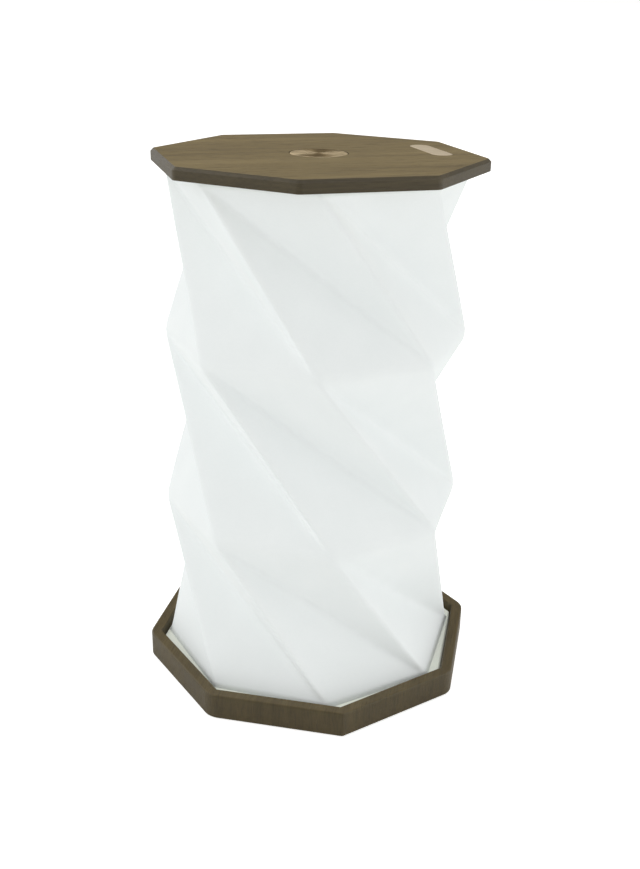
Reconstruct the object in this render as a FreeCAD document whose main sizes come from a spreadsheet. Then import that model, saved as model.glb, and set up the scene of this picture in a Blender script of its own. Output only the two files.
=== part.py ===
import FreeCAD, Part

import math
import os
import re

import Sketcher
from FreeCAD import Placement, Rotation, Vector

# Folding table lamp: an octagonal wooden tray, a creased paper sleeve of three twisted tiers and an octagonal
# wooden lid. Millimetres and degrees. The origin is under the middle of the tray, on the table, and +Z is up.
# The tray's flats face the axes, -Y is the front and the charging socket is in the rear wall, at +Y.
# The lamp is drawn standing open. An angle of the octagons is counted from -Y towards +X.

SIZES = [
    # tray: corner radius of the octagon, height, wall and floor, and how the corners and the rim are rounded
    ("tray_circum", 68.0),
    ("tray_high", 10.0),
    ("tray_wall", 4.57),
    ("tray_floor", 2.4),
    ("tray_round", 8.0),
    ("tray_front_round", 1.4),
    ("rim_round", 0.8),
    # foot pads let into the underside
    ("pad_radius", 4.0),
    ("pad_proud", 0.6),
    ("pad_sunk", 0.5),
    ("pad_margin", 1.42),
    # cover under the tray, with its screws
    ("cover_thick", 1.1),
    ("cover_gap", 0.25),
    ("cover_lap", 7.0),
    ("screw_inset", 3.5),
    ("screw_radius", 1.0),
    ("screw_head_radius", 1.9),
    ("screw_head_high", 0.5),
    ("screw_recess", 0.7),
    ("screw_long", 4.6),
    ("boss_radius", 2.5),
    # depth of the drive in each screw head, and the clearances of threads and of pieces let into others
    ("recess_deep", 0.25),
    ("thread_gap", 0.02),
    ("seat_gap", 0.1),
    # deck: the white moulded plate in the tray that the sleeve stands on
    ("deck_gap", 0.78),
    ("deck_high", 4.5),
    ("deck_thick", 1.0),
    ("deck_skirt", 1.2),
    ("deck_round", 1.5),
    ("deck_edge", 0.4),
    # lamp unit in the middle of the deck
    ("led_board_radius", 20.0),
    ("led_board_thick", 0.6),
    ("led_ledge", 1.5),
    ("led_circle", 13.0),
    ("led_long", 3.5),
    ("led_wide", 2.8),
    ("led_high", 0.7),
    ("diffuser_high", 1.7),
    ("diffuser_wall", 0.8),
    ("diffuser_inset", 0.2),
    ("diffuser_round", 0.5),
    # battery on its foam pad
    ("foam_thick", 0.3),
    ("battery_wide", 50.0),
    ("battery_deep", 36.0),
    ("battery_thick", 3.9),
    ("battery_round", 1.5),
    ("battery_back", 2.0),
    # control board behind the battery
    ("board_wide", 30.0),
    ("board_front", 24.0),
    ("board_back", 56.0),
    ("board_lift", 1.0),
    ("board_thick", 0.8),
    ("board_notch", 1.4),
    ("board_boss_side", 12.0),
    ("board_boss_back", 27.5),
    ("board_boss_radius", 2.0),
    ("board_screw_radius", 0.7),
    ("board_screw_head", 1.4),
    ("board_screw_long", 2.2),
    ("board_screw_head_high", 0.6),
    ("board_screw_recess", 0.5),
    # charging socket of the common flat reversible kind, sunk in the rear wall
    ("socket_wide", 8.94),
    ("socket_high", 3.26),
    ("socket_long", 7.35),
    ("socket_wall", 0.3),
    ("socket_round", 1.3),
    ("socket_level", 4.75),
    ("socket_gap", 0.15),
    ("tongue_wide", 6.7),
    ("tongue_high", 0.7),
    ("tongue_long", 5.0),
    ("tongue_root", 1.2),
    ("bezel_wide", 12.6),
    ("bezel_high", 6.2),
    ("bezel_thick", 0.5),
    ("glow_side", 11.0),
    ("glow_radius", 0.9),
    ("glow_chip_side", 1.6),
    ("glow_chip_high", 0.8),
    ("glow_chip_inset", 0.2),
    # magnets in the deck and in the lid, which hold the lamp shut
    ("magnet_radius", 3.0),
    ("magnet_thick", 1.5),
    ("magnet_circle", 50.0),
    # paper sleeve: corner radius of each fold ring, twist and height of each tier, from the lid down
    ("ring_lid", 56.6),
    ("ring_upper", 58.6),
    ("ring_lower", 59.7),
    ("ring_deck", 59.9),
    ("ring_lid_turn", 12.5),
    ("twist_upper", 45.0),
    ("twist_middle", 51.5),
    ("twist_lower", 44.2),
    ("tier_upper", 62.3),
    ("tier_middle", 66.8),
    ("tier_lower", 64.0),
    ("paper_thick", 0.5),
    ("flap_deep", 7.0),
    ("flap_thick", 0.3),
    ("glue_film", 0.05),
    # how far the lid has turned since it lay shut in the tray, and the folded sleeve's height when it does
    ("lid_open_turn", 118.7),
    ("folded_high", 2.1),
    # lid
    ("lid_circum", 62.0),
    ("lid_thick", 4.45),
    ("lid_round", 3.0),
    ("lid_bevel", 1.07),
    ("lid_foot_round", 0.3),
    # brass disc in the lid, and the contact under it
    ("disc_radius", 10.5),
    ("disc_thick", 1.3),
    ("disc_gap", 0.3),
    ("disc_round", 0.2),
    ("contact_radius", 2.4),
    ("contact_thick", 0.3),
    ("contact_stem", 0.8),
    ("contact_bore", 2.8),
    # pill-shaped plate near one side of the lid
    ("inlay_long", 29.0),
    ("inlay_wide", 7.6),
    ("inlay_thick", 0.7),
    ("inlay_proud", 0.05),
    ("inlay_bevel", 0.15),
    ("inlay_margin", 9.68),
    ("inlay_aside", 0.8),
    # head plate: the white plate under the lid that the sleeve hangs from
    ("head_circum", 58.2),
    ("head_thick", 0.9),
    ("head_gap", 0.1),
    # flat lead from the lamp unit up to the lid's contact, folded like a bellows
    ("lead_wide", 6.0),
    ("lead_thick", 0.3),
    ("lead_folds", 16),
    ("lead_swing", 2.4),
    ("lead_straight", 1.5),
    ("lead_gap", 0.1),
    ("lead_socket_wide", 8.0),
    ("lead_socket_deep", 2.4),
    ("lead_socket_high", 1.5),
    ("lead_slit_deep", 0.75),
    # insulated wires, and the two connectors on the board that they run to
    ("wire_radius", 0.55),
    ("wire_pitch", 2.4),
    ("wire_start_pitch", 1.68),
    ("wire_bow", 0.72),
    ("wire_hole", 1.65),
    ("connector_wide", 5.4),
    ("connector_deep", 3.2),
    ("connector_high", 1.5),
    ("connector_inset", 1.4),
    ("battery_plug_side", -3.0),
    ("lamp_plug_side", 5.0),
]

SIDES = 8
STEP = 360.0 / SIDES
HALF_STEP = STEP / 2

# An octagon's half width across the flats, as a share of its corner radius.
FLATNESS = f"cos({HALF_STEP} deg)"

# Lengths in millimetres, and volumes, that differ by less than this count as the same.
CLOSE = 1e-3

# Heights above the table, as sums of the sizes.
FLOOR_TOP = "pad_proud + tray_floor"
COVER_TOP = "pad_proud + cover_thick"
DECK_TOP = FLOOR_TOP + " + deck_high"
DECK_UNDER = DECK_TOP + " - deck_thick"
BOARD_UNDER = FLOOR_TOP + " + board_lift"
BOARD_TOP = BOARD_UNDER + " + board_thick"
RIM_TOP = "pad_proud + tray_high"
SLEEVE_FOOT = DECK_TOP + " + glue_film"
SLEEVE_TOP = SLEEVE_FOOT + " + tier_lower + tier_middle + tier_upper"
LID_UNDER = SLEEVE_TOP + " + glue_film"
LID_TOP = LID_UNDER + " + lid_thick"

# Half widths across the flats, and corner radii that follow from them.
TRAY_HALF = f"tray_circum * {FLATNESS}"
TRAY_INNER_HALF = TRAY_HALF + " - tray_wall"
DECK_HALF = TRAY_INNER_HALF + " - deck_gap"
LID_HALF = f"lid_circum * {FLATNESS}"
INLAY_OUT = LID_HALF + " - inlay_margin - inlay_wide / 2"

# Under the tray, from its edge inwards: the foot pads, the cover's edge, its screws and the opening.
PAD_CIRCLE = TRAY_HALF + " - pad_margin - pad_radius"
COVER_HALF = PAD_CIRCLE + " - pad_radius - pad_margin"
SCREW_CIRCLE = COVER_HALF + " - screw_inset"
OPENING_HALF = COVER_HALF + " - cover_lap"


def corner(half):
    """Corner radius of an octagon from its half width across the flats."""
    return f"({half}) / {FLATNESS}"


doc = FreeCAD.newDocument("folding_paper_lamp")
sheet = doc.addObject("Spreadsheet::Sheet", "Sizes")
for row, (alias, number) in enumerate(SIZES, start=1):
    sheet.set(f"A{row}", alias)
    sheet.set(f"B{row}", str(number))
    sheet.setAlias(f"B{row}", alias)
doc.recompute()
ALIASES = {alias for alias, number in SIZES}


def cells(formula):
    """The formula with each size's name turned into a reference to its cell."""
    return re.sub(r"[a-z]\w*", lambda word: "Sizes." + word[0] if word[0] in ALIASES else word[0], str(formula))


reader = doc.addObject("App::FeaturePython", "reader")


def size(formula):
    """The formula's present value, as a plain number."""
    found = reader.evalExpression(cells(formula))
    return float(getattr(found, "Value", found))


# ---------------------------------------------------------------- sketches


def new_body(label):
    made = doc.addObject("PartDesign::Body", label)
    made.Label = label
    return made


def new_sketch(body, name, level="0", role="XY_Plane"):
    """A sketch on one of the body's own origin planes, moved along the plane's normal to the level."""
    plane = next(f for f in body.Origin.OriginFeatures if f.Role == role)
    made = body.newObject("Sketcher::SketchObject", name)
    made.AttachmentSupport = [(plane, "")]
    made.MapMode = "FlatFace"
    made.setExpression(".AttachmentOffset.Base.z", cells(level))
    return made


def dimension(sketch, constraint, name, formula):
    index = sketch.addConstraint(constraint)
    sketch.renameConstraint(index, name)
    sketch.setExpression("Constraints." + name, cells(formula))


def pin_point(sketch, geometry, point, name, x, y):
    """Ties a point of the sketch to x, y from the sketch's origin."""
    for axis, formula, line in (("DistanceX", x, -2), ("DistanceY", y, -1)):
        if formula == "0":
            sketch.addConstraint(Sketcher.Constraint("PointOnObject", geometry, point, line))
        else:
            rule = Sketcher.Constraint(axis, -1, 1, geometry, point, size(formula))
            dimension(sketch, rule, name + axis[-1], formula)


def draw_octagon(sketch, name, circum):
    """A regular octagon about the origin with a flat to the front."""
    radius = size(circum)
    angles = [math.radians(-HALF_STEP + STEP * k) for k in range(SIDES)]
    points = [Vector(radius * math.sin(a), -radius * math.cos(a), 0) for a in angles]
    ring = sketch.addGeometry(Part.Circle(Vector(0, 0, 0), Vector(0, 0, 1), radius), True)
    sketch.addConstraint(Sketcher.Constraint("Coincident", ring, 3, -1, 1))
    dimension(sketch, Sketcher.Constraint("Radius", ring, radius), name, circum)
    lines = [sketch.addGeometry(Part.LineSegment(points[k], points[(k + 1) % SIDES])) for k in range(SIDES)]
    for k, line in enumerate(lines):
        sketch.addConstraint(Sketcher.Constraint("Coincident", line, 2, lines[(k + 1) % SIDES], 1))
        sketch.addConstraint(Sketcher.Constraint("PointOnObject", line, 1, ring))
        if k:
            sketch.addConstraint(Sketcher.Constraint("Equal", lines[0], line))
    sketch.addConstraint(Sketcher.Constraint("Horizontal", lines[0]))


def draw_circle(sketch, name, radius, x="0", y="0"):
    centre = Vector(size(x), size(y), 0)
    ring = sketch.addGeometry(Part.Circle(centre, Vector(0, 0, 1), size(radius)))
    pin_point(sketch, ring, 3, name + "At", x, y)
    dimension(sketch, Sketcher.Constraint("Radius", ring, size(radius)), name, radius)


def draw_rectangle(sketch, name, wide, high, x, y):
    """An upright rectangle with its lower left corner at x, y."""
    left, low = size(x), size(y)
    right, top = left + size(wide), low + size(high)
    points = [Vector(left, low, 0), Vector(right, low, 0), Vector(right, top, 0), Vector(left, top, 0)]
    lines = [sketch.addGeometry(Part.LineSegment(points[k], points[(k + 1) % 4])) for k in range(4)]
    for k, line in enumerate(lines):
        sketch.addConstraint(Sketcher.Constraint("Coincident", line, 2, lines[(k + 1) % 4], 1))
        sketch.addConstraint(Sketcher.Constraint("Vertical" if k % 2 else "Horizontal", line))
    dimension(sketch, Sketcher.Constraint("DistanceX", lines[0], 1, lines[0], 2, size(wide)), name + "Wide", wide)
    dimension(sketch, Sketcher.Constraint("DistanceY", lines[1], 1, lines[1], 2, size(high)), name + "High", high)
    pin_point(sketch, lines[0], 1, name + "At", x, y)


# ---------------------------------------------------------------- features


def pad(body, sketch, length):
    made = body.newObject("PartDesign::Pad", "Pad")
    made.Profile = sketch
    made.setExpression("Length", cells(length))
    doc.recompute()
    return made


def pocket(body, sketch, length, upward=False):
    """Cuts the sketch away from its plane: down, or up from a sketch on the underside."""
    before = body.Shape.Volume
    made = body.newObject("PartDesign::Pocket", "Pocket")
    made.Profile = sketch
    made.Reversed = upward
    made.setExpression("Length", cells(length))
    doc.recompute()
    if made.Shape.Volume > before - CLOSE:
        raise RuntimeError(f"{body.Label}: the cut of {sketch.Label} removes nothing")
    return made


def edge_names(feature, wanted):
    return [f"Edge{i}" for i, edge in enumerate(feature.Shape.Edges, start=1) if wanted(edge)]


def upright(edge):
    ends = [vertex.Point for vertex in edge.Vertexes]
    return len(ends) == 2 and math.hypot(ends[0].x - ends[1].x, ends[0].y - ends[1].y) < CLOSE


def level_at(height):
    """Picks the edges that lie flat at a height."""
    return lambda edge: all(abs(vertex.Point.z - height) < CLOSE for vertex in edge.Vertexes)


def from_axis(edge):
    """Distance of an edge's middle from the Z axis."""
    box = edge.BoundBox
    return math.hypot((box.XMin + box.XMax) / 2, (box.YMin + box.YMax) / 2)


def round_edges(body, feature, names, radius):
    made = body.newObject("PartDesign::Fillet", "Fillet")
    made.Base = (feature, names)
    made.setExpression("Radius", cells(radius))
    doc.recompute()
    return made


def bevel_edges(body, feature, names, depth):
    made = body.newObject("PartDesign::Chamfer", "Chamfer")
    made.Base = (feature, names)
    made.setExpression("Size", cells(depth))
    doc.recompute()
    return made


def place(thing, x="0", y="0", z="0", turn="0"):
    """Puts an object at x, y, z, turned about the vertical."""
    thing.Placement = Placement(Vector(size(x), size(y), size(z)), Rotation(Vector(0, 0, 1), size(turn)))
    for axis, formula in (("x", x), ("y", y), ("z", z)):
        if formula != "0":
            thing.setExpression(f".Placement.Base.{axis}", cells(formula))
    if turn != "0":
        thing.setExpression(".Placement.Rotation.Angle", cells(f"({turn}) * 1 deg"))
    return thing


# ---------------------------------------------------------------- plain solids


def box(name, wide, deep, high, x="0", y="0", z="0"):
    """A block centred on x, y that stands on z."""
    made = doc.addObject("Part::Box", name)
    for side, formula in (("Length", wide), ("Width", deep), ("Height", high)):
        made.setExpression(side, cells(formula))
    return place(made, f"({x}) - ({wide}) / 2", f"({y}) - ({deep}) / 2", z)


def cylinder(name, radius, high, x="0", y="0", z="0"):
    made = doc.addObject("Part::Cylinder", name)
    made.setExpression("Radius", cells(radius))
    made.setExpression("Height", cells(high))
    return place(made, x, y, z)


def group(label, members):
    """Separate solids that share one node."""
    made = doc.addObject("Part::Compound", label)
    made.Label = label
    made.Links = members
    return made


def around(count, first, radius):
    """Places evenly spaced on a circle, as formulas for x and y."""
    angles = [first + 360.0 / count * k for k in range(count)]
    return [(f"({radius}) * sin({a} deg)", f"-({radius}) * cos({a} deg)") for a in angles]


COVER_SCREWS = around(4, STEP, SCREW_CIRCLE)
FOOT_PADS = around(4, STEP, PAD_CIRCLE)
MAGNETS = around(4, HALF_STEP, "magnet_circle")
BOARD_BOSSES = [("board_boss_side", "board_boss_back"), ("-board_boss_side", "board_boss_back")]

nodes = []


def keep(thing, label):
    """Names a finished sub-part and lists it for the hand-in."""
    thing.Label = label
    nodes.append(thing)
    return thing


# ---------------------------------------------------------------- tray and what closes it


def make_tray():
    """Octagonal tray cut from one board, open below for the cover and pierced at the rear for the socket."""
    body = new_body("tray")
    outline = new_sketch(body, "TrayOutline", "pad_proud")
    draw_octagon(outline, "corner", "tray_circum")
    block = pad(body, outline, "tray_high")

    sharp = Rotation(Vector(0, 0, 1), HALF_STEP).multVec(Vector(0, -1, 0))
    front = edge_names(block, lambda e: upright(e) and e.CenterOfMass.normalize().dot(sharp) > 0.9)
    block = round_edges(body, block, front, "tray_front_round")
    # the other seven corners are straight uprights on the corner radius
    others = edge_names(block, lambda e: upright(e) and abs(from_axis(e) - size("tray_circum")) < CLOSE)
    block = round_edges(body, block, others, "tray_round")
    rim = edge_names(block, level_at(size(RIM_TOP)))
    round_edges(body, block, rim, "rim_round")

    inside = new_sketch(body, "TrayInside", RIM_TOP)
    draw_octagon(inside, "corner", corner(TRAY_INNER_HALF))
    hollow = pocket(body, inside, "tray_high - tray_floor")
    at_rim = level_at(size(RIM_TOP))
    inner = edge_names(hollow, lambda e: at_rim(e) and from_axis(e) < size(TRAY_INNER_HALF) + CLOSE)
    round_edges(body, hollow, inner, "rim_round")

    opening = new_sketch(body, "Opening", FLOOR_TOP)
    draw_octagon(opening, "corner", corner(OPENING_HALF))
    pocket(body, opening, "tray_floor")
    rebate = new_sketch(body, "CoverRebate", "pad_proud")
    draw_octagon(rebate, "corner", corner(COVER_HALF + " + cover_gap"))
    pocket(body, rebate, "cover_thick", upward=True)

    seats = new_sketch(body, "PadSeats", "pad_proud")
    for k, (x, y) in enumerate(FOOT_PADS):
        draw_circle(seats, f"seat{k}", "pad_radius + seat_gap", x, y)
    pocket(body, seats, "pad_sunk", upward=True)
    holes = new_sketch(body, "CoverScrewHoles", FLOOR_TOP)
    for k, (x, y) in enumerate(COVER_SCREWS):
        draw_circle(holes, f"hole{k}", "screw_radius + seat_gap", x, y)
    pocket(body, holes, "tray_floor")

    slot = new_sketch(body, "SocketSlot", f"-({TRAY_INNER_HALF} - rim_round)", "XZ_Plane")
    draw_rectangle(
        slot,
        "slot",
        "socket_wide + 2 * socket_gap",
        "socket_high + 2 * socket_gap",
        "-socket_wide / 2 - socket_gap",
        "socket_level - socket_high / 2 - socket_gap",
    )
    draw_circle(slot, "glow", "glow_radius + socket_gap", "-glow_side", "socket_level")
    pocket(body, slot, "tray_wall + 2 * rim_round")
    frame = new_sketch(body, "BezelSeat", f"-({TRAY_HALF} - bezel_thick)", "XZ_Plane")
    draw_rectangle(frame, "seat", "bezel_wide", "bezel_high", "-bezel_wide / 2", "socket_level - bezel_high / 2")
    pocket(body, frame, "bezel_thick + rim_round")
    keep(body, "tray")


def make_foot_pads():
    """Four silicone dots, let into the underside of the tray."""
    pads = [cylinder("FootPad", "pad_radius", "pad_proud + pad_sunk", x, y) for x, y in FOOT_PADS]
    keep(group("foot_pads", pads), "foot_pads")


def make_base_cover():
    """Plate that closes the opening from below, flush in its rebate, with sunk screw holes."""
    body = new_body("base_cover")
    outline = new_sketch(body, "CoverOutline", "pad_proud")
    draw_octagon(outline, "corner", corner(COVER_HALF))
    plate = pad(body, outline, "cover_thick")
    corners = edge_names(plate, upright)
    round_edges(body, plate, corners, "deck_round")
    holes = new_sketch(body, "CoverHoles", "pad_proud")
    for k, (x, y) in enumerate(COVER_SCREWS):
        draw_circle(holes, f"hole{k}", "screw_radius + seat_gap", x, y)
    pocket(body, holes, "cover_thick", upward=True)
    sinks = new_sketch(body, "HeadSinks", "pad_proud")
    for k, (x, y) in enumerate(COVER_SCREWS):
        draw_circle(sinks, f"sink{k}", "screw_head_radius + seat_gap", x, y)
    pocket(body, sinks, "screw_head_high", upward=True)
    keep(body, "base_cover")


def make_screws(label, places, level, head_radius, head_high, shank_radius, long, recess_radius):
    """Pan-head screws driven upwards, head first from the given level."""
    screws = []
    for x, y in places:
        head = cylinder("Head", head_radius, head_high, x, y, level)
        shank = cylinder("Shank", shank_radius, long, x, y, f"{level} + {head_high}")
        recess = cylinder("Recess", recess_radius, "recess_deep", x, y, level)
        screw = doc.addObject("Part::Fuse", "Screw")
        screw.Base = head
        screw.Tool = shank
        driven = doc.addObject("Part::Cut", "DrivenScrew")
        driven.Base = screw
        driven.Tool = recess
        screws.append(driven)
    keep(group(label, screws), label)


def make_deck():
    """White moulded plate on a skirt, screwed down from below. The sleeve's foot is glued to its top."""
    body = new_body("shade_deck")
    outline = new_sketch(body, "DeckOutline", FLOOR_TOP)
    draw_octagon(outline, "corner", corner(DECK_HALF))
    block = pad(body, outline, "deck_high")
    block = round_edges(body, block, edge_names(block, upright), "deck_round")
    bevel_edges(body, block, edge_names(block, level_at(size(DECK_TOP))), "deck_edge")

    inside = new_sketch(body, "DeckInside", FLOOR_TOP)
    draw_octagon(inside, "corner", corner(DECK_HALF + " - deck_skirt"))
    pocket(body, inside, "deck_high - deck_thick", upward=True)
    seat = new_sketch(body, "LampSeat", DECK_TOP)
    draw_circle(seat, "seat", "led_board_radius + socket_gap")
    pocket(body, seat, "led_board_thick")
    well = new_sketch(body, "LampWell", DECK_TOP)
    draw_circle(well, "well", "led_board_radius - led_ledge")
    pocket(body, well, "deck_thick")

    bosses = new_sketch(body, "ScrewBosses", FLOOR_TOP)
    for k, (x, y) in enumerate(COVER_SCREWS):
        draw_circle(bosses, f"boss{k}", "boss_radius", x, y)
    pad(body, bosses, "deck_high - deck_thick")
    pilots = new_sketch(body, "PilotHoles", FLOOR_TOP)
    for k, (x, y) in enumerate(COVER_SCREWS):
        draw_circle(pilots, f"pilot{k}", "screw_radius + thread_gap", x, y)
    pocket(body, pilots, "deck_high - deck_thick", upward=True)

    posts = new_sketch(body, "BoardPosts", BOARD_TOP)
    for k, (x, y) in enumerate(BOARD_BOSSES):
        draw_circle(posts, f"post{k}", "board_boss_radius", x, y)
    pad(body, posts, f"{DECK_UNDER} - ({BOARD_TOP})")
    taps = new_sketch(body, "BoardTaps", BOARD_TOP)
    for k, (x, y) in enumerate(BOARD_BOSSES):
        draw_circle(taps, f"tap{k}", "board_screw_radius + thread_gap", x, y)
    pocket(body, taps, f"{DECK_UNDER} - ({BOARD_TOP})", upward=True)

    notch = new_sketch(body, "SocketNotch", f"-({DECK_HALF} - 2 * deck_skirt)", "XZ_Plane")
    draw_rectangle(
        notch,
        "notch",
        "board_wide + 2 * socket_gap",
        "deck_high - deck_thick",
        "-board_wide / 2 - socket_gap",
        FLOOR_TOP,
    )
    pocket(body, notch, "3 * deck_skirt")
    keep(body, "shade_deck")


# ---------------------------------------------------------------- lamp unit


def make_led_board():
    """Round board with a hole for the lamp wires."""
    body = new_body("led_board")
    outline = new_sketch(body, "LedBoardOutline", DECK_TOP + " - led_board_thick")
    draw_circle(outline, "edge", "led_board_radius")
    pad(body, outline, "led_board_thick")
    hole = new_sketch(body, "WireHole", DECK_TOP)
    draw_circle(hole, "hole", "wire_hole", "0", "led_circle / 2")
    pocket(body, hole, "led_board_thick")
    keep(body, "led_board")


def make_led_chips():
    """Eight light emitting chips in a ring, each turned to face the middle."""
    chips = []
    for k in range(SIDES):
        angle = STEP * k
        chip = doc.addObject("Part::Box", "Chip")
        chip.setExpression("Length", cells("led_wide"))
        chip.setExpression("Width", cells("led_long"))
        chip.setExpression("Height", cells("led_high"))
        turn = Rotation(Vector(0, 0, 1), angle)
        middle = turn.multVec(Vector(0, -size("led_circle"), 0))
        start = middle - turn.multVec(Vector(size("led_wide") / 2, size("led_long") / 2, 0))
        chip.Placement = Placement(Vector(start.x, start.y, size(DECK_TOP)), turn)
        chips.append(chip)
    keep(group("led_chips", chips), "led_chips")


def make_lead_socket():
    """Small socket in the middle of the round board that holds the flat lead's lower end."""
    block = box("LeadSocketBlock", "lead_socket_wide", "lead_socket_deep", "lead_socket_high", z=DECK_TOP)
    slit = box(
        "LeadSocketSlit",
        "lead_wide + 2 * lead_gap",
        "lead_thick + 2 * lead_gap",
        "lead_slit_deep",
        z=DECK_TOP + " + lead_socket_high - lead_slit_deep",
    )
    made = doc.addObject("Part::Cut", "lead_socket")
    made.Base = block
    made.Tool = slit
    keep(made, "lead_socket")


def make_diffuser():
    """Shallow opal cap over the chips, with an opening for the flat lead's socket."""
    body = new_body("light_diffuser")
    outline = new_sketch(body, "CapOutline", DECK_TOP)
    draw_circle(outline, "edge", "led_board_radius - diffuser_inset")
    cap = pad(body, outline, "diffuser_high")
    top = edge_names(cap, level_at(size(DECK_TOP + " + diffuser_high")))
    round_edges(body, cap, top, "diffuser_round")
    inside = new_sketch(body, "CapInside", DECK_TOP)
    draw_circle(inside, "edge", "led_board_radius - diffuser_inset - diffuser_wall")
    pocket(body, inside, "diffuser_high - diffuser_wall", upward=True)
    opening = new_sketch(body, "LeadOpening", DECK_TOP + " + diffuser_high")
    draw_rectangle(
        opening,
        "slot",
        "lead_socket_wide + 2 * socket_gap",
        "lead_socket_deep + 2 * socket_gap",
        "-lead_socket_wide / 2 - socket_gap",
        "-lead_socket_deep / 2 - socket_gap",
    )
    pocket(body, opening, "diffuser_high")
    keep(body, "light_diffuser")


# ---------------------------------------------------------------- battery and control board

BATTERY_MIDDLE = "battery_back - battery_deep / 2"


def make_battery():
    """Flat lithium cell on a foam pad, lying on the cover."""
    foam = box("foam_pad", "battery_wide", "battery_deep", "foam_thick", y=BATTERY_MIDDLE, z=COVER_TOP)
    keep(foam, "battery_foam")
    body = new_body("battery_cell")
    outline = new_sketch(body, "CellOutline", COVER_TOP + " + foam_thick")
    draw_rectangle(
        outline, "cell", "battery_wide", "battery_deep", "-battery_wide / 2", "battery_back - battery_deep"
    )
    cell = pad(body, outline, "battery_thick")
    round_edges(body, cell, edge_names(cell, lambda e: not upright(e)), "battery_round")
    keep(body, "battery_cell")


def make_control_board():
    """Board with a notch at its rear edge in which the charging socket is sunk."""
    body = new_body("control_board")
    outline = new_sketch(body, "BoardOutline", BOARD_UNDER)
    draw_rectangle(outline, "board", "board_wide", "board_back - board_front", "-board_wide / 2", "board_front")
    pad(body, outline, "board_thick")
    notch = new_sketch(body, "BoardNotch", BOARD_TOP)
    draw_rectangle(
        notch,
        "notch",
        "socket_wide + 2 * socket_gap",
        "board_notch * 2",
        "-socket_wide / 2 - socket_gap",
        "board_back - board_notch",
    )
    pocket(body, notch, "board_thick")
    holes = new_sketch(body, "BoardHoles", BOARD_TOP)
    for k, (x, y) in enumerate(BOARD_BOSSES):
        draw_circle(holes, f"hole{k}", "board_screw_radius + seat_gap", x, y)
    pocket(body, holes, "board_thick")
    keep(body, "control_board")


CONNECTOR_FRONT = "board_front + connector_inset"


# The board's loose parts: wide, deep and high, then how far aside and how far behind the board's front edge.
COMPONENTS = [
    (4.0, 4.0, 0.9, -6.0, 20.0),
    (3.0, 3.0, 0.8, 3.0, 20.0),
    (4.2, 4.2, 1.5, 8.5, 14.0),
    (3.6, 3.6, 0.9, -1.5, 12.5),
    (1.6, 0.8, 0.8, -11.0, 12.0),
    (1.6, 0.8, 0.8, -11.0, 14.0),
    (1.6, 0.8, 0.8, -11.0, 16.0),
    (1.6, 0.8, 0.8, 3.0, 15.5),
    (1.6, 0.8, 0.8, 3.0, 24.0),
    (1.6, 0.8, 0.8, -6.0, 24.5),
]


def make_board_components():
    """Charger, touch and lamp driver chips, coil, capacitors, the charging light and the wires' connectors."""
    blocks = []
    for wide, deep, high, aside, behind in COMPONENTS:
        blocks.append(box("Component", wide, deep, high, aside, f"board_front + {behind}", BOARD_TOP))
    behind = "board_back - glow_chip_inset - glow_chip_side / 2"
    blocks.append(box("Glow", "glow_chip_side", "glow_chip_side", "glow_chip_high", "-glow_side", behind, BOARD_TOP))
    middle = CONNECTOR_FRONT + " + connector_deep / 2"
    for side in ("battery_plug_side", "lamp_plug_side"):
        blocks.append(box("Connector", "connector_wide", "connector_deep", "connector_high", side, middle, BOARD_TOP))
    keep(group("board_components", blocks), "board_components")


SOCKET_BACK = TRAY_HALF + " - bezel_thick"


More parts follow.
